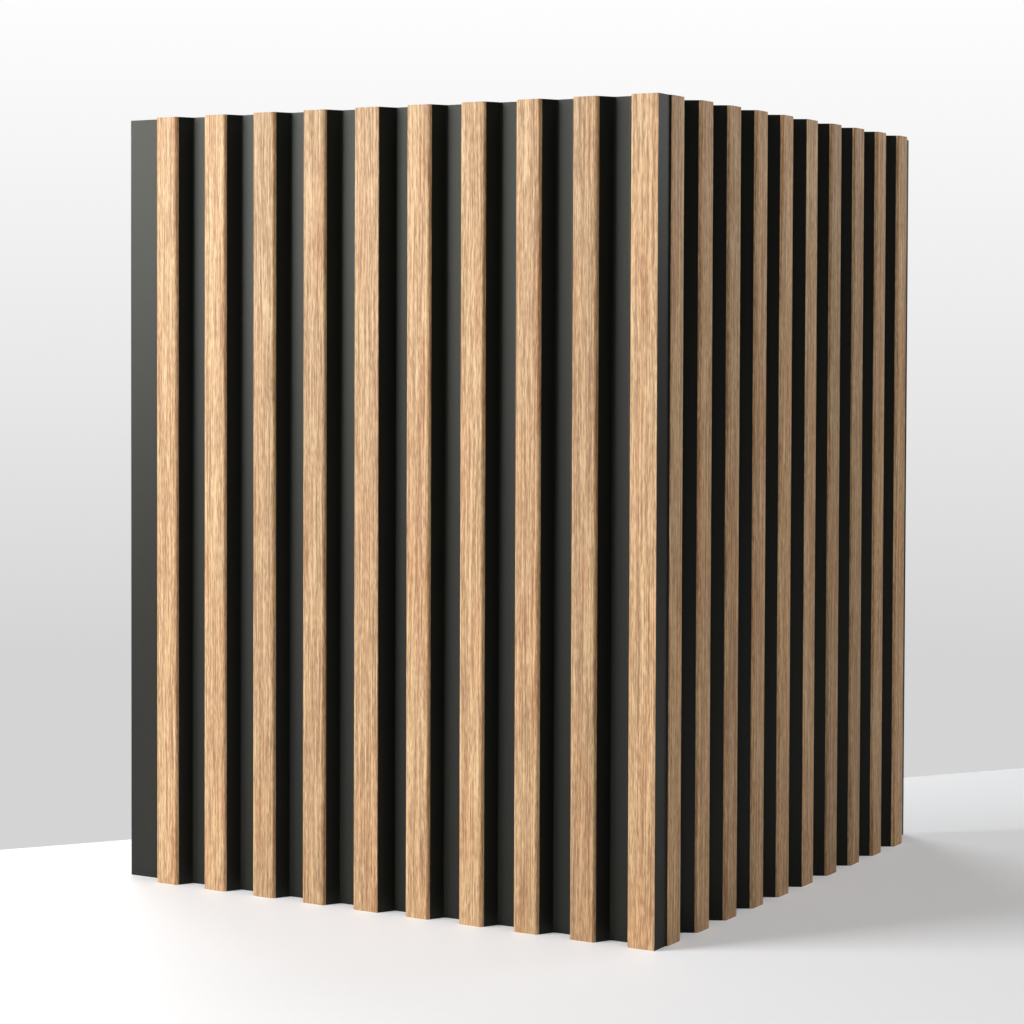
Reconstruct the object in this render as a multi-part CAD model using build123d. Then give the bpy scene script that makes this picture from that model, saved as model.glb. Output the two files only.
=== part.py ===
"""Slatted wall panel set round an outside corner: two leaves of lapped panels with oak-look slats.

Each panel is one extruded black profile with five tapered slats, and each slat carries a strip of
oak decor film. The left leaf looks along -Y, the right leaf runs back along +Y from its cut end and
looks along +X, and both stand on Z = 0. The origin is on the floor, at the middle of the whole box.
"""
import math
import os

from build123d import *

# Panel profile, in millimetres.
LENGTH = 400.0  # height of the cut panels
PITCH = 31.0  # one slat to the next
THICKNESS = 11.5  # front of a slat to the back of the panel
WEB = 2.5  # wall behind the troughs, also the tongue
SLAT_FACE = 12.4  # width of a slat front between its unrounded corners
FLANK_ANGLE = 28.0  # lean of the slat sides from square, in degrees
EDGE_RADIUS = 1.8  # rounded long edges of a slat
FOOT_RADIUS = 1.5  # hollow where a slat side meets the trough
SLATS = 5  # slats on one panel
PANELS = 2  # panels in one leaf

# Decor film on the slat fronts.
FILM = 0.4  # thickness of the film
FILM_WRAP = 1.5  # how deep the film reaches down a slat side

# Lap joint between two panels of a leaf, and the corner.
TONGUE_REACH = 25.2  # slat corner to the tip of the tongue
TONGUE_BEVEL = 1.2  # eased front edge of the tongue tip
END_EXTRA = 1.6  # extra face width of the end slat, which has a sharp edge
LAP_CLEARANCE = 0.5  # tongue tip to the end of the rebate
LAP_PLAY = 0.1  # tongue front to the lip over it
CORNER_PROUD = 1.0  # right leaf stands out past the cut end of the left leaf
CORNER_BEVEL = 1.2  # eased edge of the right leaf's cut end

DEPTH = THICKNESS - WEB
LEAN = math.tan(math.radians(FLANK_ANGLE))
FILM_INSET = FILM / math.cos(math.radians(FLANK_ANGLE))
FLANK_RUN = DEPTH * LEAN
PANEL_COVER = SLATS * PITCH
END_FACE = SLAT_FACE + END_EXTRA
CUT_LINE = (SLATS - 1) * PITCH + END_FACE
REBATE_WALL = PANEL_COVER - TONGUE_REACH - LAP_CLEARANCE
LEAF_RUN = CUT_LINE + (PANELS - 1) * PANEL_COVER + TONGUE_REACH
CORNER_X = (LEAF_RUN - CORNER_PROUD) / 2  # outside of the left leaf's cut end
CORNER_Y = -(THICKNESS + LEAF_RUN) / 2  # front of the left leaf


def outline(points):
    """Closed flat face through (along, depth) points."""
    return make_face(Polyline(*points, close=True))


def rounded(face, points, radius):
    """The face with its corners at the given points rounded."""
    corners = [v for v in face.vertices() if any((v.center() - Vector(*p)).length < 1e-4 for p in points)]
    return fillet(corners, radius)


def slat_face(index):
    """Face width of a slat; the last one is the wider end slat."""
    return END_FACE if index == SLATS - 1 else SLAT_FACE


def slat_corners(index):
    """Front corners of a slat that are rounded: both, or only the first on the end slat."""
    start = index * PITCH
    corners = [(start, 0), (start + SLAT_FACE, 0)]
    return corners[:1] if index == SLATS - 1 else corners


def slat_feet(index):
    """Corners where the sides of a slat meet the troughs beside it."""
    start = index * PITCH
    feet = [(start - FLANK_RUN, DEPTH), (start + SLAT_FACE + FLANK_RUN, DEPTH)]
    return feet[:1] if index == SLATS - 1 else feet


def end_points(lapped):
    """Profile points from the end slat's front edge round to the back of the panel."""
    edge = CUT_LINE
    if not lapped:
        return [(edge, 0), (edge, THICKNESS)]
    lip = DEPTH - LAP_PLAY
    return [(edge, 0), (edge + lip * LEAN, lip), (REBATE_WALL, lip), (REBATE_WALL, THICKNESS)]


def profile(lapped):
    """Whole section of a panel: tongue, slats and troughs, and a lapped or a cut end."""
    points = [(-TONGUE_REACH, THICKNESS), (-TONGUE_REACH, DEPTH + TONGUE_BEVEL)]
    points.append((-TONGUE_REACH + TONGUE_BEVEL, DEPTH))
    for index in range(SLATS):
        start = index * PITCH
        points += [(start - FLANK_RUN, DEPTH), (start, 0)]
        if index < SLATS - 1:
            points += [(start + SLAT_FACE, 0), (start + SLAT_FACE + FLANK_RUN, DEPTH)]
    points += end_points(lapped)
    face = outline(points)
    face = rounded(face, [p for i in range(SLATS) for p in slat_corners(i)], EDGE_RADIUS)
    return rounded(face, [p for i in range(SLATS) for p in slat_feet(i)], FOOT_RADIUS)


def film_section(index, lapped):
    """Section of one film strip: the skin of a slat front, turned down over its rounded edges."""
    start = index * PITCH
    end = start + slat_face(index)
    is_end = index == SLATS - 1
    side_run = FILM_WRAP * LEAN
    skin_end = (end + side_run, FILM_WRAP) if lapped or not is_end else (end, FILM_WRAP)
    skin = outline([(start - side_run, FILM_WRAP), (start, 0), (end, 0), skin_end])
    skin = rounded(skin, slat_corners(index), EDGE_RADIUS)
    core_start = start + FILM_INSET
    core_end = end + side_run if is_end else end - FILM_INSET
    core_top = [(core_start - FILM * LEAN, FILM), (core_end + (0 if is_end else FILM * LEAN), FILM)]
    core_low = [(core_end + (0 if is_end else side_run), FILM_WRAP), (core_start - side_run, FILM_WRAP)]
    core = outline(core_top + core_low)
    core = rounded(core, core_top[:1] if is_end else core_top, EDGE_RADIUS - FILM)
    return skin - core


def left_place(face, panel):
    """Section of a left leaf panel, counted from the far left, in its place along X."""
    shift = (panel - PANELS + 1) * PANEL_COVER - CUT_LINE
    return Pos(CORNER_X + shift, CORNER_Y) * face


def right_place(face, panel):
    """Section of a right leaf panel, counted from the corner and turned end for end along Y."""
    turned = mirror(face, Plane.YZ)
    shift = CUT_LINE + panel * PANEL_COVER
    start = Pos(CORNER_X + CORNER_PROUD, CORNER_Y + THICKNESS)
    return start * Rot(0, 0, 90) * Pos(shift, 0) * turned


def corner_groove():
    """Prism that eases the front edge of the right leaf's cut end, leaving a dark groove."""
    front = CORNER_X + CORNER_PROUD
    end = CORNER_Y + THICKNESS
    groove = outline([(front, end), (front, end + CORNER_BEVEL), (front - CORNER_BEVEL, end)])
    return extrude(groove, LENGTH, dir=(0, 0, 1))


def write_leaf(side, place, corner_panel, trim=None):
    """Write the panels and film strips of one leaf, slats numbered from the left as seen from outside."""
    for panel in range(PANELS):
        lapped = panel != corner_panel
        films = [film_section(index, lapped) for index in range(SLATS)]
        body = profile(lapped)
        for film in films:
            body -= film
        sections = {f"{side}_panel_{panel + 1}": body}
        for index, film in enumerate(films):
            order = index if side == "left" else SLATS - 1 - index
            number = panel * SLATS + order + 1
            sections[f"{side}_slat_film_{number:02d}"] = film
        for name, section in sections.items():
            solid = extrude(place(section, panel), LENGTH, dir=(0, 0, 1))
            if trim is not None and not lapped:
                solid -= trim
            export_step(solid, f"parts/{name}.step")


def main():
    os.makedirs("parts", exist_ok=True)
    write_leaf("left", left_place, corner_panel=PANELS - 1)
    write_leaf("right", right_place, corner_panel=0, trim=corner_groove())


main()
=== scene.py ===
"""Studio scene of a slatted wall panel corner: black profiles with oak film on every slat.

Laid out as an add-on and run as a script. The panels are the frame's own solids with a satin black
finish, duller on their backs and matt on their sawn ends; the backs' colour is painted lighter than
the profile black, as painted light that lets them read when little light reaches them. The oak films
are swept by Geometry Nodes to the same section, with finely rounded edges.
"""

import math

import bpy
from mathutils import Matrix, Vector


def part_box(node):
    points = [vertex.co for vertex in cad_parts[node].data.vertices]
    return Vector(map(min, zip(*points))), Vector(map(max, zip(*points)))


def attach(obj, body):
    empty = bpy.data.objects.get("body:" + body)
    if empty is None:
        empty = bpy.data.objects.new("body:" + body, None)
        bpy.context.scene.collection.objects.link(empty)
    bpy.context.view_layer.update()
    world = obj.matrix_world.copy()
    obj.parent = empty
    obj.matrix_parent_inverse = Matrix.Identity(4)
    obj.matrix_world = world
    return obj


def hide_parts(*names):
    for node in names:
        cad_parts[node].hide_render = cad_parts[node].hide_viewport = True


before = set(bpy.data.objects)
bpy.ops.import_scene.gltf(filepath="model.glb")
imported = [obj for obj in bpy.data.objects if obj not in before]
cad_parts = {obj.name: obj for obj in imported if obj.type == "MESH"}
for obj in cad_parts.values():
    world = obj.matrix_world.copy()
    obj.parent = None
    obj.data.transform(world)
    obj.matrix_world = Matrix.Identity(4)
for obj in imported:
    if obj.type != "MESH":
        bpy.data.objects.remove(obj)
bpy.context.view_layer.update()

bl_info = {
    "name": "Slatted Wall Panel Corner",
    "version": (1, 0, 0),
    "blender": (4, 5, 0),
    "location": "3D View > Sidebar > Slat Corner",
    "description": "Dresses a corner of slatted wall panels and sets its studio",
    "category": "Object",
}

BODY = "root"
IMAGE_SIZE = 1024
MM = 0.001

SLATS_PER_PANEL = 5
PANELS_PER_LEAF = 2
SLATS_PER_LEAF = SLATS_PER_PANEL * PANELS_PER_LEAF
LEFT_SEED, RIGHT_SEED = 2695, 2926  # strip tones in about the order seen on each leaf

FILLET_STEPS = 8  # points on each rounded corner of a strip
MERGE_DISTANCE = 0.005 * MM
SHARP_ANGLE = math.radians(35)
END_FACING = 0.9  # normals this near to vertical belong to sawn ends
BACK_FACING = 0.95  # normals this near to +Y or -X belong to backs
BACK_MATTNESS = 0.3  # how far a back goes from satin to the roughness of a sawn end
ROUGHNESS_PLAY = 0.05
FLOOR_REACH = 4.0
FLOOR_FADE = (0.5, 2.0)  # distances between which the floor's glow grows
FAR_GLOW = 0.75
LIGHT_TARGET = (0.0, 0.0, 0.2)
SENSOR_WIDTH = 36.0

first_film_low, first_film_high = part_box("left_slat_film_01")
second_film_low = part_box("left_slat_film_02")[0]


class SlatFilmSettings(bpy.types.PropertyGroup):
    """Section of the oak film strips and the colours of their grain"""

    pitch: bpy.props.FloatProperty(
        name="Pitch", description="One slat to the next", unit="LENGTH",
        default=second_film_low.x - first_film_low.x)
    height: bpy.props.FloatProperty(
        name="Height", description="Length of the strips", unit="LENGTH",
        default=first_film_high.z - first_film_low.z)
    wrap: bpy.props.FloatProperty(
        name="Wrap", description="How deep the film reaches down a slat side", unit="LENGTH",
        default=first_film_high.y - first_film_low.y)
    face_width: bpy.props.FloatProperty(
        name="Face Width", description="Slat front between its unrounded corners", unit="LENGTH",
        default=12.4 * MM)
    end_extra: bpy.props.FloatProperty(
        name="End Extra", description="Extra width of the sharp-edged end slat", unit="LENGTH",
        default=1.6 * MM)
    flank_angle: bpy.props.FloatProperty(
        name="Flank Angle", description="Lean of the slat sides from square", subtype="ANGLE",
        default=math.radians(28))
    edge_radius: bpy.props.FloatProperty(
        name="Edge Radius", description="Rounded long edges of a slat", unit="LENGTH",
        default=1.8 * MM)
    thickness: bpy.props.FloatProperty(
        name="Thickness", description="Thickness of the film", unit="LENGTH", default=0.4 * MM)
    corner_bevel: bpy.props.FloatProperty(
        name="Corner Bevel", description="Eased edge of the right leaf's cut end", unit="LENGTH",
        default=1.2 * MM)
    light_colour: bpy.props.FloatVectorProperty(
        name="Light Oak", description="Light streaks of the grain", subtype="COLOR",
        default=(0.80, 0.55, 0.295), min=0, max=1)
    mid_colour: bpy.props.FloatVectorProperty(
        name="Mid Oak", description="Main tone of the grain", subtype="COLOR",
        default=(0.57, 0.345, 0.168), min=0, max=1)
    dark_colour: bpy.props.FloatVectorProperty(
        name="Dark Oak", description="Dark streaks of the grain", subtype="COLOR",
        default=(0.36, 0.19, 0.085), min=0, max=1)
    pore_colour: bpy.props.FloatVectorProperty(
        name="Pores", description="Fine dark pores", subtype="COLOR",
        default=(0.27, 0.145, 0.07), min=0, max=1)
    tone_spread: bpy.props.FloatProperty(
        name="Tone Spread", description="How far the strips differ in tone", subtype="FACTOR",
        default=0.16, min=0, max=1)
    blush_colour: bpy.props.FloatVectorProperty(
        name="Blush", description="Tint of the pinkish patches", subtype="COLOR",
        default=(0.98, 0.86, 0.80), min=0, max=1)


class PanelSettings(bpy.types.PropertyGroup):
    """Finish of the black profiles"""

    colour: bpy.props.FloatVectorProperty(
        name="Profile Black", description="Colour of the extruded profile", subtype="COLOR",
        default=(0.005, 0.0053, 0.0045), min=0, max=1)
    # Painted light: the backs get a colour lighter than the profile black, so that they still read when
    # little light reaches them
    painted_light_back_colour: bpy.props.FloatVectorProperty(
        name="Painted Light Back", description="Duller black of the panels' backs", subtype="COLOR",
        default=(0.018, 0.018, 0.0175), min=0, max=1)
    end_colour: bpy.props.FloatVectorProperty(
        name="Sawn End", description="Lighter cells of the sawn ends", subtype="COLOR",
        default=(0.05, 0.05, 0.048), min=0, max=1)
    roughness: bpy.props.FloatProperty(
        name="Roughness", description="Satin roughness of the profile", subtype="FACTOR",
        default=0.42, min=0, max=1)
    end_roughness: bpy.props.FloatProperty(
        name="End Roughness", description="Roughness of the sawn ends", subtype="FACTOR",
        default=0.95, min=0, max=1)
    sheen: bpy.props.FloatProperty(
        name="Sheen", description="Strength of the satin reflection", subtype="FACTOR",
        default=0.35, min=0, max=1)
    sheen_colour: bpy.props.FloatVectorProperty(
        name="Sheen Tint", description="Tint of the satin reflection", subtype="COLOR",
        default=(0.97, 1.0, 0.88), min=0, max=1)


class StageSettings(bpy.types.PropertyGroup):
    """Camera, floor and studio light"""

    camera_place: bpy.props.FloatVectorProperty(
        name="Camera", description="Where the camera stands", subtype="TRANSLATION",
        default=(0.71224, -1.23841, 0.28725))
    camera_yaw: bpy.props.FloatProperty(
        name="Yaw", description="Turn of the camera to the left of +Y", subtype="ANGLE",
        default=math.radians(30.471))
    camera_pitch: bpy.props.FloatProperty(
        name="Pitch", description="Tilt of the camera above the horizon", subtype="ANGLE",
        default=math.radians(-1.637))
    camera_roll: bpy.props.FloatProperty(
        name="Roll", description="Turn of the camera about its axis", subtype="ANGLE",
        default=math.radians(0.197))
    focal_pixels: bpy.props.FloatProperty(
        name="Focal Length", description="Focal length in pixels of the image", default=2597.6)
    principal_row: bpy.props.FloatProperty(
        name="Principal Row", description="Image row that the camera's axis meets", default=410.0)
    floor_colour: bpy.props.FloatVectorProperty(
        name="Floor", description="Colour of the floor", subtype="COLOR",
        default=(0.88, 0.885, 0.9), min=0, max=1)
    floor_glow: bpy.props.FloatProperty(
        name="Floor Glow", description="White that the camera adds to the floor", default=0.17)
    edge_rows: bpy.props.FloatVectorProperty(
        name="Floor Edge Rows", description="Image rows of the floor's far edge, left and right",
        size=2, default=(850.0, 768.0))
    key_power: bpy.props.FloatProperty(
        name="Key Light", description="Power of the large soft light", default=32.0)
    top_power: bpy.props.FloatProperty(
        name="Top Light", description="Power of the light above", default=7.0)
    rim_power: bpy.props.FloatProperty(
        name="Rim Light", description="Power of the light behind the right leaf", default=4.8)
    back_power: bpy.props.FloatProperty(
        name="Back Light", description="Power of the light on the panels' backs", default=12.0)
    ambient: bpy.props.FloatProperty(
        name="Ambient", description="Strength of the room's light", default=0.05)


class NodeSheet:
    """A node tree that is wired by values: a number, a colour or an output socket feeds any input."""

    def __init__(self, tree):
        self.tree = tree

    def feed(self, socket, value):
        if isinstance(value, bpy.types.NodeSocket):
            self.tree.links.new(value, socket)
        elif value is not None:
            socket.default_value = value

    def add(self, kind, inputs=None, **settings):
        node = self.tree.nodes.new(kind)
        for key, value in settings.items():
            setattr(node, key, value)
        for key, value in (inputs or {}).items():
            self.feed(node.inputs[key], value)
        return node

    def calc(self, operation, a, b=None):
        return self.add("ShaderNodeMath", {0: a, 1: b}, operation=operation).outputs[0]

    def point(self, x, y, z=0.0):
        return self.add("ShaderNodeCombineXYZ", {0: x, 1: y, 2: z}).outputs[0]

    def choose(self, index, values, data_type):
        switch = self.add("GeometryNodeIndexSwitch", data_type=data_type)
        while len(switch.index_switch_items) < len(values):
            switch.index_switch_items.new()
        self.feed(switch.inputs[0], index)
        for socket, value in zip(switch.inputs[1:], values):
            self.feed(socket, value)
        return switch.outputs[0]


def strip_from_outline(sheet, corners, height):
    """Closed strip swept up from an outline of (x, depth, radius) corners."""
    index = sheet.add("GeometryNodeInputIndex").outputs[0]
    line = sheet.add("GeometryNodeMeshLine", {"Count": len(corners)})
    places = [sheet.point(x, depth) for x, depth, _ in corners]
    placed = sheet.add("GeometryNodeSetPosition", {
        "Geometry": line.outputs[0], "Position": sheet.choose(index, places, "VECTOR")})
    path = sheet.add("GeometryNodeMeshToCurve", {"Mesh": placed.outputs[0]})
    ring = sheet.add("GeometryNodeSetSplineCyclic", {"Geometry": path.outputs[0], "Cyclic": True})
    radii = sheet.choose(index, [radius for _, _, radius in corners], "FLOAT")
    rounded = sheet.add("GeometryNodeFilletCurve", {
        "Curve": ring.outputs[0], "Count": FILLET_STEPS, "Radius": radii, "Limit Radius": True}, mode="POLY")
    cap = sheet.add("GeometryNodeFillCurve", {"Curve": rounded.outputs[0]}, mode="NGONS")
    wall = sheet.add("GeometryNodeExtrudeMesh", {
        "Mesh": cap.outputs[0], "Offset": (0, 0, 1), "Offset Scale": height, "Individual": False})
    foot = sheet.add("GeometryNodeFlipFaces", {"Mesh": cap.outputs[0]})
    joined = sheet.add("GeometryNodeJoinGeometry")
    sheet.feed(joined.inputs[0], wall.outputs[0])
    sheet.feed(joined.inputs[0], foot.outputs[0])
    return sheet.add("GeometryNodeMergeByDistance", {
        "Geometry": joined.outputs[0], "Distance": MERGE_DISTANCE}).outputs[0]


def slat_film_tree():
    """Geometry Nodes tree of the oak films of one leaf, in a row along X with their fronts on Y = 0."""
    tree = bpy.data.node_groups.new("slat_films", "GeometryNodeTree")
    tree.interface.new_socket("Geometry", in_out="OUTPUT", socket_type="NodeSocketGeometry")
    kinds = {"Pitch": "Float", "Height": "Float", "Wrap": "Float", "Face Width": "Float",
             "End Extra": "Float", "Flank Angle": "Float", "Edge Radius": "Float",
             "Thickness": "Float", "Cut Bevel": "Float", "Cut Slope": "Float",
             "Slats per Panel": "Int", "Slats": "Int", "Seed": "Int", "Material": "Material"}
    for name, kind in kinds.items():
        tree.interface.new_socket(name, in_out="INPUT", socket_type=f"NodeSocket{kind}")
    sheet = NodeSheet(tree)
    size = sheet.add("NodeGroupInput").outputs

    lean = sheet.calc("TANGENT", size["Flank Angle"])
    side_run = sheet.calc("MULTIPLY", size["Wrap"], lean)
    skin_run = sheet.calc("MULTIPLY", size["Thickness"], lean)
    inset = sheet.calc("DIVIDE", size["Thickness"], sheet.calc("COSINE", size["Flank Angle"]))
    outer = size["Edge Radius"]
    inner = sheet.calc("SUBTRACT", outer, size["Thickness"])
    face = size["Face Width"]
    end_face = sheet.calc("ADD", face, size["End Extra"])
    depth = size["Thickness"]
    minus_side = sheet.calc("MULTIPLY", side_run, -1.0)

    low_left = (minus_side, size["Wrap"], 0.0)
    top_left = (0.0, 0.0, outer)
    inner_top_left = (sheet.calc("SUBTRACT", inset, skin_run), depth, inner)
    inner_low_left = (sheet.calc("SUBTRACT", inset, side_run), size["Wrap"], 0.0)
    inner_face_end = sheet.calc("SUBTRACT", face, inset)
    plain = strip_from_outline(sheet, [
        low_left, top_left, (face, 0.0, outer), (sheet.calc("ADD", face, side_run), size["Wrap"], 0.0),
        (sheet.calc("ADD", inner_face_end, side_run), size["Wrap"], 0.0),
        (sheet.calc("ADD", inner_face_end, skin_run), depth, inner),
        inner_top_left, inner_low_left], size["Height"])
    lapped = strip_from_outline(sheet, [
        low_left, top_left, (end_face, 0.0, 0.0), (sheet.calc("ADD", end_face, skin_run), depth, 0.0),
        inner_top_left, inner_low_left], size["Height"])
    cut_face = sheet.calc("SUBTRACT", end_face, size["Cut Bevel"])
    cut_low = sheet.calc("ADD", cut_face, sheet.calc("MULTIPLY", depth, size["Cut Slope"]))
    cut = strip_from_outline(sheet, [
        low_left, top_left, (cut_face, 0.0, 0.0), (cut_low, depth, 0.0),
        inner_top_left, inner_low_left], size["Height"])

    row = sheet.add("GeometryNodeMeshLine", {
        "Count": size["Slats"], "Offset": sheet.point(size["Pitch"], 0.0)})
    index = sheet.add("GeometryNodeInputIndex").outputs[0]
    in_panel = sheet.calc("FLOORED_MODULO", index, size["Slats per Panel"])
    is_end = sheet.calc("COMPARE", in_panel, sheet.calc("SUBTRACT", size["Slats per Panel"], 1.0))
    is_last = sheet.calc("COMPARE", index, sheet.calc("SUBTRACT", size["Slats"], 1.0))
    choices = sheet.add("GeometryNodeGeometryToInstance")
    for strip in (cut, lapped, plain):
        sheet.feed(choices.inputs[0], strip)
    strips = sheet.add("GeometryNodeInstanceOnPoints", {
        "Points": row.outputs[0], "Instance": choices.outputs[0], "Pick Instance": True,
        "Instance Index": sheet.calc("ADD", is_end, is_last)})
    tone = sheet.add("FunctionNodeRandomValue", {"Seed": size["Seed"]}, data_type="FLOAT").outputs[1]
    toned = sheet.add("GeometryNodeStoreNamedAttribute", {
        "Geometry": strips.outputs[0], "Name": "strip_tone", "Value": tone},
        data_type="FLOAT", domain="INSTANCE")
    real = sheet.add("GeometryNodeRealizeInstances", {"Geometry": toned.outputs[0]})
    covered = sheet.add("GeometryNodeSetMaterial", {
        "Geometry": real.outputs[0], "Material": size["Material"]})
    sheet.add("NodeGroupOutput", {"Geometry": covered.outputs[0]})
    return tree


def mesh_from_tree(name, tree, values):
    """Plain mesh made by a Geometry Nodes tree, its inputs set by socket identifier."""
    holder = bpy.data.objects.new(name, bpy.data.meshes.new(name))
    bpy.context.scene.collection.objects.link(holder)
    modifier = holder.modifiers.new("nodes", "NODES")
    modifier.node_group = tree
    for item in tree.interface.items_tree:
        if item.in_out == "INPUT":
            modifier[item.identifier] = values[item.name]
    holder.update_tag()
    graph = bpy.context.evaluated_depsgraph_get()
    mesh = bpy.data.meshes.new_from_object(holder.evaluated_get(graph), depsgraph=graph)
    bpy.data.objects.remove(holder)
    if not mesh.polygons:
        raise RuntimeError(f"{name} came out empty")
    mesh.name = name
    return mesh


def place_piece(name, mesh, nodes):
    """Object at the origin that rides on the body and stands for the given nodes."""
    piece = bpy.data.objects.new(name, mesh)
    bpy.context.scene.collection.objects.link(piece)
    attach(piece, BODY)
    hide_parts(*nodes)


def new_material(name):
    """Material with an empty sheet, its surface shader and the shader's output wired."""
    material = bpy.data.materials.new(name)
    material.use_nodes = True
    material.node_tree.nodes.clear()
    sheet = NodeSheet(material.node_tree)
    shader = sheet.add("ShaderNodeBsdfPrincipled")
    sheet.add("ShaderNodeOutputMaterial", {"Surface": shader.outputs[0]})
    return material, sheet, shader


def stretched_noise(sheet, place, scale, detail=2.0, rough=0.5):
    """Noise on Object coordinates, with one frequency (per metre) for each axis."""
    mapped = sheet.add("ShaderNodeMapping", {"Vector": place, "Scale": scale})
    noise = sheet.add("ShaderNodeTexNoise", {
        "Vector": mapped.outputs[0], "Scale": 1.0, "Detail": detail, "Roughness": rough})
    return noise.outputs["Fac"]


def ramp(sheet, factor, stops):
    """Colour ramp through (position, colour) stops."""
    node = sheet.add("ShaderNodeValToRGB", {"Fac": factor})
    elements = node.color_ramp.elements
    while len(elements) < len(stops):
        elements.new(0.5)
    for element, (position, colour) in zip(elements, stops):
        element.position = position
        element.color = (*colour, 1.0)
    return node.outputs["Color"]


def weighted_sum(sheet, terms):
    """Sum of (factor, weight) pairs."""
    total = None
    for factor, weight in terms:
        term = sheet.calc("MULTIPLY", factor, weight)
        total = term if total is None else sheet.calc("ADD", total, term)
    return total


def oak_film_material(settings):
    """Printed oak: long fibres, short pores and slow changes of tone along the strips."""
    material, sheet, shader = new_material("oak_film")
    place = sheet.add("ShaderNodeTexCoord").outputs["Object"]
    bend = sheet.add("ShaderNodeTexNoise", {"Vector": place, "Scale": 14.0, "Detail": 1.0})
    sway = sheet.add("ShaderNodeVectorMath", {
        0: bend.outputs["Color"], "Scale": 2.0 * MM}, operation="SCALE")
    place = sheet.add("ShaderNodeVectorMath", {0: place, 1: sway.outputs[0]}).outputs[0]
    broad = stretched_noise(sheet, place, (230, 230, 5), 1.0)
    streaks = stretched_noise(sheet, place, (1000, 1000, 9), 1.0)
    fibres = stretched_noise(sheet, place, (1600, 1600, 32), 1.0)
    dashes = stretched_noise(sheet, place, (1900, 1900, 210), 1.0)
    grain = weighted_sum(sheet, [(broad, 0.10), (streaks, 0.27), (fibres, 0.33), (dashes, 0.30)])
    colour = ramp(sheet, grain, [
        (0.40, settings.dark_colour), (0.50, settings.mid_colour), (0.60, settings.light_colour)])
    blush = stretched_noise(sheet, place, (130, 130, 14), 1.0)
    warm = sheet.add("ShaderNodeMapRange", {
        "Value": blush, "From Min": 0.48, "From Max": 0.68, "To Min": 0.0, "To Max": 0.7})
    blushed = sheet.add("ShaderNodeMix", {
        "Factor": warm.outputs[0], 6: colour, 7: (*settings.blush_colour, 1.0)},
        data_type="RGBA", blend_type="MULTIPLY").outputs[2]
    pores = stretched_noise(sheet, place, (1600, 1600, 120), 1.0)
    is_pore = sheet.add("ShaderNodeMapRange", {
        "Value": pores, "From Min": 0.60, "From Max": 0.74, "To Min": 0.0, "To Max": 0.55})
    pored = sheet.add("ShaderNodeMix", {
        "Factor": is_pore.outputs[0], 6: blushed, 7: (*settings.pore_colour, 1.0)}, data_type="RGBA")
    tone = sheet.add("ShaderNodeAttribute", attribute_name="strip_tone").outputs["Fac"]
    spread = settings.tone_spread
    level = sheet.add("ShaderNodeMapRange", {"Value": tone, "To Min": 1 - spread, "To Max": 1 + spread})
    toned = sheet.add("ShaderNodeVectorMath", {
        0: pored.outputs[2], "Scale": level.outputs[0]}, operation="SCALE")
    sheet.feed(shader.inputs["Base Color"], toned.outputs[0])
    bump = sheet.add("ShaderNodeBump", {
        "Height": fibres, "Strength": 0.25, "Distance": 0.1 * MM})
    sheet.feed(shader.inputs["Normal"], bump.outputs[0])
    worn = sheet.add("ShaderNodeMapRange", {
        "Value": fibres, "From Min": 0.3, "From Max": 0.7, "To Min": 0.62, "To Max": 0.48})
    sheet.feed(shader.inputs["Roughness"], worn.outputs[0])
    return material


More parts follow.
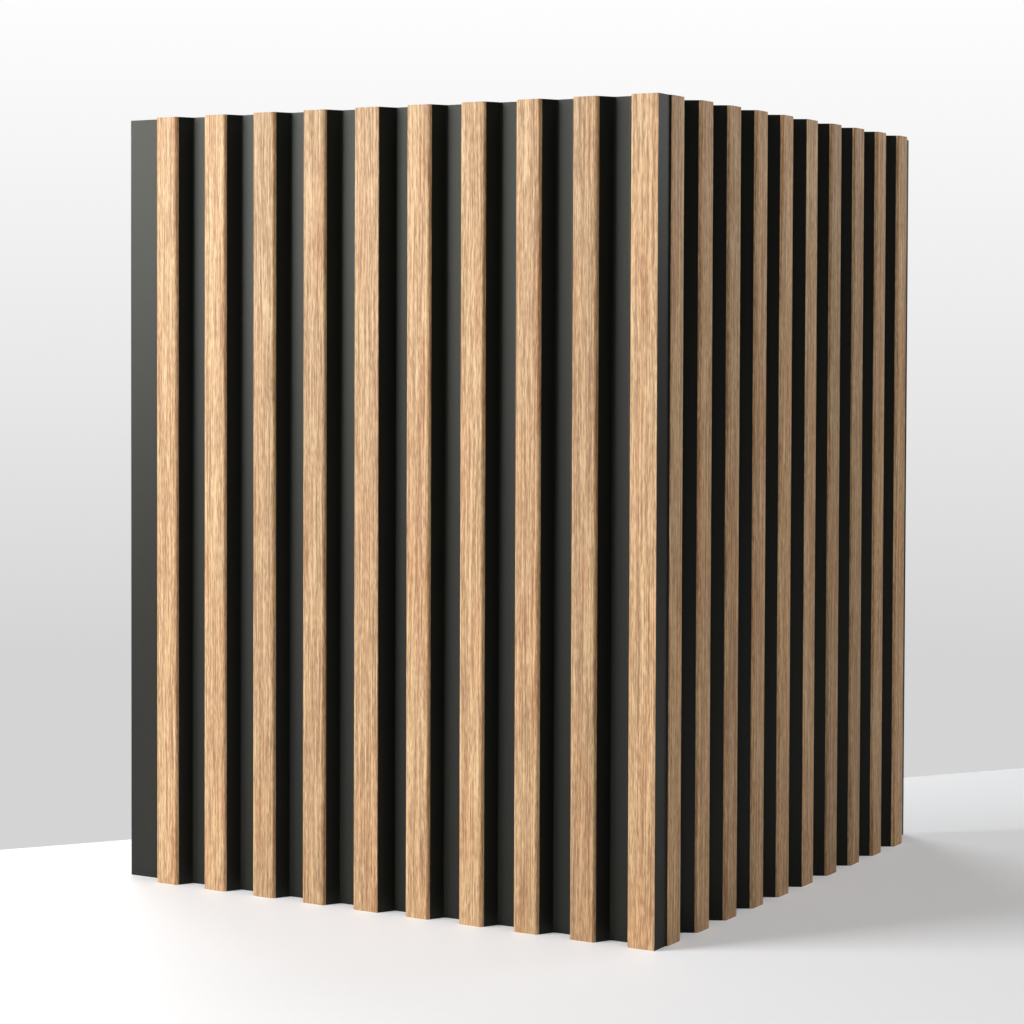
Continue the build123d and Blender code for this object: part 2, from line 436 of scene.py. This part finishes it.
def black_profile_material(settings):
    """Satin black polymer with faint die lines, a matter back whose colour is painted lighter as painted
    light, and matt, finely cellular sawn ends.
    """
    material, sheet, shader = new_material("black_profile")
    place = sheet.add("ShaderNodeTexCoord").outputs["Object"]
    tone = stretched_noise(sheet, place, (120, 120, 6), 2.0, 0.5)
    dark = tuple(0.8 * c for c in settings.colour)
    light = tuple(1.2 * c for c in settings.colour)
    moulded = ramp(sheet, tone, [(0.3, dark), (0.7, light)])
    cells = stretched_noise(sheet, place, (1100, 1100, 1100), 2.0, 0.6)
    sawn = ramp(sheet, cells, [(0.35, settings.colour), (0.65, settings.end_colour)])
    facing = sheet.add("ShaderNodeSeparateXYZ", {
        0: sheet.add("ShaderNodeNewGeometry").outputs["True Normal"]})
    is_end = sheet.calc("GREATER_THAN", sheet.calc("ABSOLUTE", facing.outputs["Z"]), END_FACING)
    backward = sheet.calc("MAXIMUM", facing.outputs["Y"], sheet.calc("MULTIPLY", facing.outputs["X"], -1.0))
    is_back = sheet.calc("GREATER_THAN", backward, BACK_FACING)
    # Painted light: faces turned to +Y or -X take a colour lighter than the profile black, so that the backs
    # read when little light reaches them
    pale = tuple(1.25 * c for c in settings.painted_light_back_colour)
    painted_lit_back = ramp(sheet, tone, [(0.3, settings.painted_light_back_colour), (0.7, pale)])
    finish = sheet.add("ShaderNodeMix", {"Factor": is_end, 6: moulded, 7: sawn}, data_type="RGBA")
    backed = sheet.add("ShaderNodeMix", {"Factor": is_back, 6: finish.outputs[2], 7: painted_lit_back}, data_type="RGBA")
    sheet.feed(shader.inputs["Base Color"], backed.outputs[2])
    skin = stretched_noise(sheet, place, (1500, 1500, 700), 2.0, 0.5)
    die_lines = stretched_noise(sheet, place, (700, 700, 2), 2.0, 0.5)
    bump = sheet.add("ShaderNodeBump", {
        "Height": weighted_sum(sheet, [(skin, 0.5), (die_lines, 0.5)]),
        "Strength": 0.2, "Distance": 0.1 * MM})
    sheet.feed(shader.inputs["Normal"], bump.outputs[0])
    satin = sheet.add("ShaderNodeMapRange", {
        "Value": skin, "To Min": settings.roughness - ROUGHNESS_PLAY,
        "To Max": settings.roughness + ROUGHNESS_PLAY}).outputs[0]
    bare = sheet.calc("MAXIMUM", is_end, sheet.calc("MULTIPLY", is_back, BACK_MATTNESS))
    rough = sheet.add("ShaderNodeMix", {"Factor": bare, 2: satin, 3: settings.end_roughness})
    sheet.feed(shader.inputs["Roughness"], rough.outputs[0])
    shader.inputs["Specular IOR Level"].default_value = settings.sheen
    shader.inputs["Specular Tint"].default_value = (*settings.sheen_colour, 1.0)
    return material


class SLATCORNER_OT_films(bpy.types.Operator):
    """Sweep the oak films of both leaves and put them on the slats"""

    bl_idname = "slat_corner.films"
    bl_label = "Oak Films"

    def execute(self, context):
        settings = context.scene.slat_films
        tree = slat_film_tree()
        material = oak_film_material(settings)
        side_run = settings.wrap * math.tan(settings.flank_angle)
        last = f"{SLATS_PER_LEAF:02d}"
        left_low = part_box("left_slat_film_01")[0]
        right_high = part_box(f"right_slat_film_{last}")[1]
        left = Matrix.Translation((left_low.x + side_run, left_low.y, 0.0))
        right = Matrix(((0, -1, 0, right_high.x), (-1, 0, 0, right_high.y - side_run),
                        (0, 0, 1, 0), (0, 0, 0, 1)))
        for side, place, bevel, slope, seed in (
                ("left", left, 0.0, 0.0, LEFT_SEED),
                ("right", right, settings.corner_bevel, 1.0, RIGHT_SEED)):
            mesh = mesh_from_tree(f"{side}_oak_films", tree, {
                "Pitch": settings.pitch, "Height": settings.height, "Wrap": settings.wrap,
                "Face Width": settings.face_width, "End Extra": settings.end_extra,
                "Flank Angle": settings.flank_angle, "Edge Radius": settings.edge_radius,
                "Thickness": settings.thickness, "Cut Bevel": bevel, "Cut Slope": slope,
                "Slats per Panel": SLATS_PER_PANEL, "Slats": SLATS_PER_LEAF, "Seed": seed,
                "Material": material})
            mesh.transform(place)
            if place.determinant() < 0:
                mesh.flip_normals()
            mesh.shade_smooth()
            mesh.set_sharp_from_angle(angle=SHARP_ANGLE)
            nodes = [f"{side}_slat_film_{number:02d}" for number in range(1, SLATS_PER_LEAF + 1)]
            place_piece(f"{side}_oak_films", mesh, nodes)
        return {"FINISHED"}


class SLATCORNER_OT_panels(bpy.types.Operator):
    """Give the extruded profiles their satin black finish"""

    bl_idname = "slat_corner.panels"
    bl_label = "Black Profiles"

    def execute(self, context):
        material = black_profile_material(context.scene.slat_panels)
        for side in ("left", "right"):
            for number in range(1, PANELS_PER_LEAF + 1):
                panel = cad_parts[f"{side}_panel_{number}"]
                panel.data.materials.clear()
                panel.data.materials.append(material)
        return {"FINISHED"}


def camera_axes(settings):
    """Right, up and forward directions of the camera."""
    yaw, pitch, roll = settings.camera_yaw, settings.camera_pitch, settings.camera_roll
    forward = Vector((-math.sin(yaw) * math.cos(pitch), math.cos(yaw) * math.cos(pitch), math.sin(pitch)))
    level = Vector((math.cos(yaw), math.sin(yaw), 0.0))
    above = level.cross(forward)
    right = math.cos(roll) * level + math.sin(roll) * above
    up = math.cos(roll) * above - math.sin(roll) * level
    return right, up, forward


def floor_point(settings, column, row):
    """Point of the floor that shows at a pixel of the image."""
    right, up, forward = camera_axes(settings)
    across = (column - IMAGE_SIZE / 2) / settings.focal_pixels
    down = (row - settings.principal_row) / settings.focal_pixels
    ray = forward + across * right - down * up
    start = Vector(settings.camera_place)
    return start - ray * (start.z / ray.z)


def add_camera(settings):
    """Camera at its fitted place, shifted so that its axis meets the principal row."""
    data = bpy.data.cameras.new("camera")
    camera = bpy.data.objects.new("camera", data)
    bpy.context.scene.collection.objects.link(camera)
    right, up, forward = camera_axes(settings)
    camera.matrix_world = Matrix((
        (right.x, up.x, -forward.x, settings.camera_place[0]),
        (right.y, up.y, -forward.y, settings.camera_place[1]),
        (right.z, up.z, -forward.z, settings.camera_place[2]),
        (0, 0, 0, 1)))
    data.sensor_width = SENSOR_WIDTH
    data.lens = settings.focal_pixels / IMAGE_SIZE * data.sensor_width
    data.shift_y = (settings.principal_row - IMAGE_SIZE / 2) / IMAGE_SIZE
    data.clip_start, data.clip_end = 0.01, 100.0
    bpy.context.scene.camera = camera


def add_soft_light(name, place, target, size, power):
    """Area light of a width and height that faces a point."""
    data = bpy.data.lights.new(name, "AREA")
    data.shape = "RECTANGLE"
    data.size, data.size_y = size
    data.energy = power
    light = bpy.data.objects.new(name, data)
    bpy.context.scene.collection.objects.link(light)
    light.location = place
    light.rotation_euler = (Vector(target) - Vector(place)).to_track_quat("-Z", "Y").to_euler()


class SLATCORNER_OT_stage(bpy.types.Operator):
    """Set up the floor, the soft studio light and the camera"""

    bl_idname = "slat_corner.stage"
    bl_label = "Studio Stage"

    def execute(self, context):
        settings = context.scene.slat_stage
        self.add_floor(settings)
        self.add_world(settings)
        add_soft_light("key_light", (-0.95, -1.2, 0.85), LIGHT_TARGET, (0.8, 1.3), settings.key_power)
        add_soft_light("top_light", (0.85, -0.35, 1.5), LIGHT_TARGET, (1.2, 1.2), settings.top_power)
        add_soft_light("rim_light", (0.9, 1.3, 0.8), LIGHT_TARGET, (0.8, 0.8), settings.rim_power)
        add_soft_light("back_light", (-1.1, 0.9, 0.9), LIGHT_TARGET, (1.0, 1.0), settings.back_power)
        add_camera(settings)
        context.scene.view_settings.view_transform = "Standard"
        return {"FINISHED"}

    def add_floor(self, settings):
        left = floor_point(settings, 0, settings.edge_rows[0])
        right = floor_point(settings, IMAGE_SIZE, settings.edge_rows[1])
        along = (right - left).normalized() * FLOOR_REACH
        near = Vector((along.y, -along.x, 0.0))
        mesh = bpy.data.meshes.new("floor")
        corners = [left - along, left - along + near, right + along + near, right + along]
        mesh.from_pydata(corners, [], [(0, 1, 2, 3)])
        floor = bpy.data.objects.new("floor", mesh)
        bpy.context.scene.collection.objects.link(floor)
        material, sheet, shader = new_material("pale_floor")
        place = sheet.add("ShaderNodeTexCoord").outputs["Object"]
        mottle = stretched_noise(sheet, place, (3, 3, 3))
        low = tuple(0.99 * c for c in settings.floor_colour)
        colour = ramp(sheet, mottle, [(0.3, low), (0.7, settings.floor_colour)])
        sheet.feed(shader.inputs["Base Color"], colour)
        shader.inputs["Roughness"].default_value = 0.6
        shader.inputs["Emission Color"].default_value = (1, 1, 1, 1)
        seen = sheet.add("ShaderNodeLightPath").outputs["Is Camera Ray"]
        distance = sheet.add("ShaderNodeVectorMath", {0: place}, operation="LENGTH").outputs["Value"]
        glow = sheet.add("ShaderNodeMapRange", {
            "Value": distance, "From Min": FLOOR_FADE[0], "From Max": FLOOR_FADE[1],
            "To Min": settings.floor_glow, "To Max": FAR_GLOW}, interpolation_type="SMOOTHSTEP")
        sheet.feed(shader.inputs["Emission Strength"], sheet.calc("MULTIPLY", seen, glow.outputs[0]))
        mesh.materials.append(material)

    def add_world(self, settings):
        world = bpy.data.worlds.new("studio")
        bpy.context.scene.world = world
        world.use_nodes = True
        world.node_tree.nodes.clear()
        sheet = NodeSheet(world.node_tree)
        path = sheet.add("ShaderNodeLightPath").outputs
        seen = sheet.calc("MAXIMUM", path["Is Camera Ray"], path["Is Transmission Ray"])
        room = sheet.add("ShaderNodeBackground", {"Color": (1, 1, 1, 1), "Strength": settings.ambient})
        direction = sheet.add("ShaderNodeTexCoord").outputs["Generated"]
        rise = sheet.add("ShaderNodeSeparateXYZ", {0: direction}).outputs["Z"]
        height = sheet.add("ShaderNodeMapRange", {
            "Value": rise, "From Min": -0.12, "From Max": 0.135, "To Min": 0.0, "To Max": 1.0}).outputs[0]
        sky = ramp(sheet, height, [(0.0, (0.66,) * 3), (0.35, (0.79,) * 3), (1.0, (1.0,) * 3)])
        backdrop = sheet.add("ShaderNodeBackground", {"Color": sky, "Strength": 1.0})
        mixed = sheet.add("ShaderNodeMixShader", {0: seen, 1: room.outputs[0], 2: backdrop.outputs[0]})
        sheet.add("ShaderNodeOutputWorld", {"Surface": mixed.outputs[0]})


class SLATCORNER_PT_panel(bpy.types.Panel):
    """Lists the steps that dress the slatted corner"""

    bl_idname = "SLATCORNER_PT_panel"
    bl_label = "Slatted Corner"
    bl_space_type = "VIEW_3D"
    bl_region_type = "UI"
    bl_category = "Slat Corner"

    def draw(self, context):
        for operator in (SLATCORNER_OT_panels, SLATCORNER_OT_films, SLATCORNER_OT_stage):
            self.layout.operator(operator.bl_idname)


CLASSES = (SlatFilmSettings, PanelSettings, StageSettings, SLATCORNER_OT_panels,
           SLATCORNER_OT_films, SLATCORNER_OT_stage, SLATCORNER_PT_panel)


def register():
    for cls in CLASSES:
        bpy.utils.register_class(cls)
    bpy.types.Scene.slat_films = bpy.props.PointerProperty(type=SlatFilmSettings)
    bpy.types.Scene.slat_panels = bpy.props.PointerProperty(type=PanelSettings)
    bpy.types.Scene.slat_stage = bpy.props.PointerProperty(type=StageSettings)


def unregister():
    del bpy.types.Scene.slat_stage
    del bpy.types.Scene.slat_panels
    del bpy.types.Scene.slat_films
    for cls in reversed(CLASSES):
        bpy.utils.unregister_class(cls)


def main():
    register()
    bpy.ops.slat_corner.panels()
    bpy.ops.slat_corner.films()
    bpy.ops.slat_corner.stage()


if __name__ == "__main__":
    main()
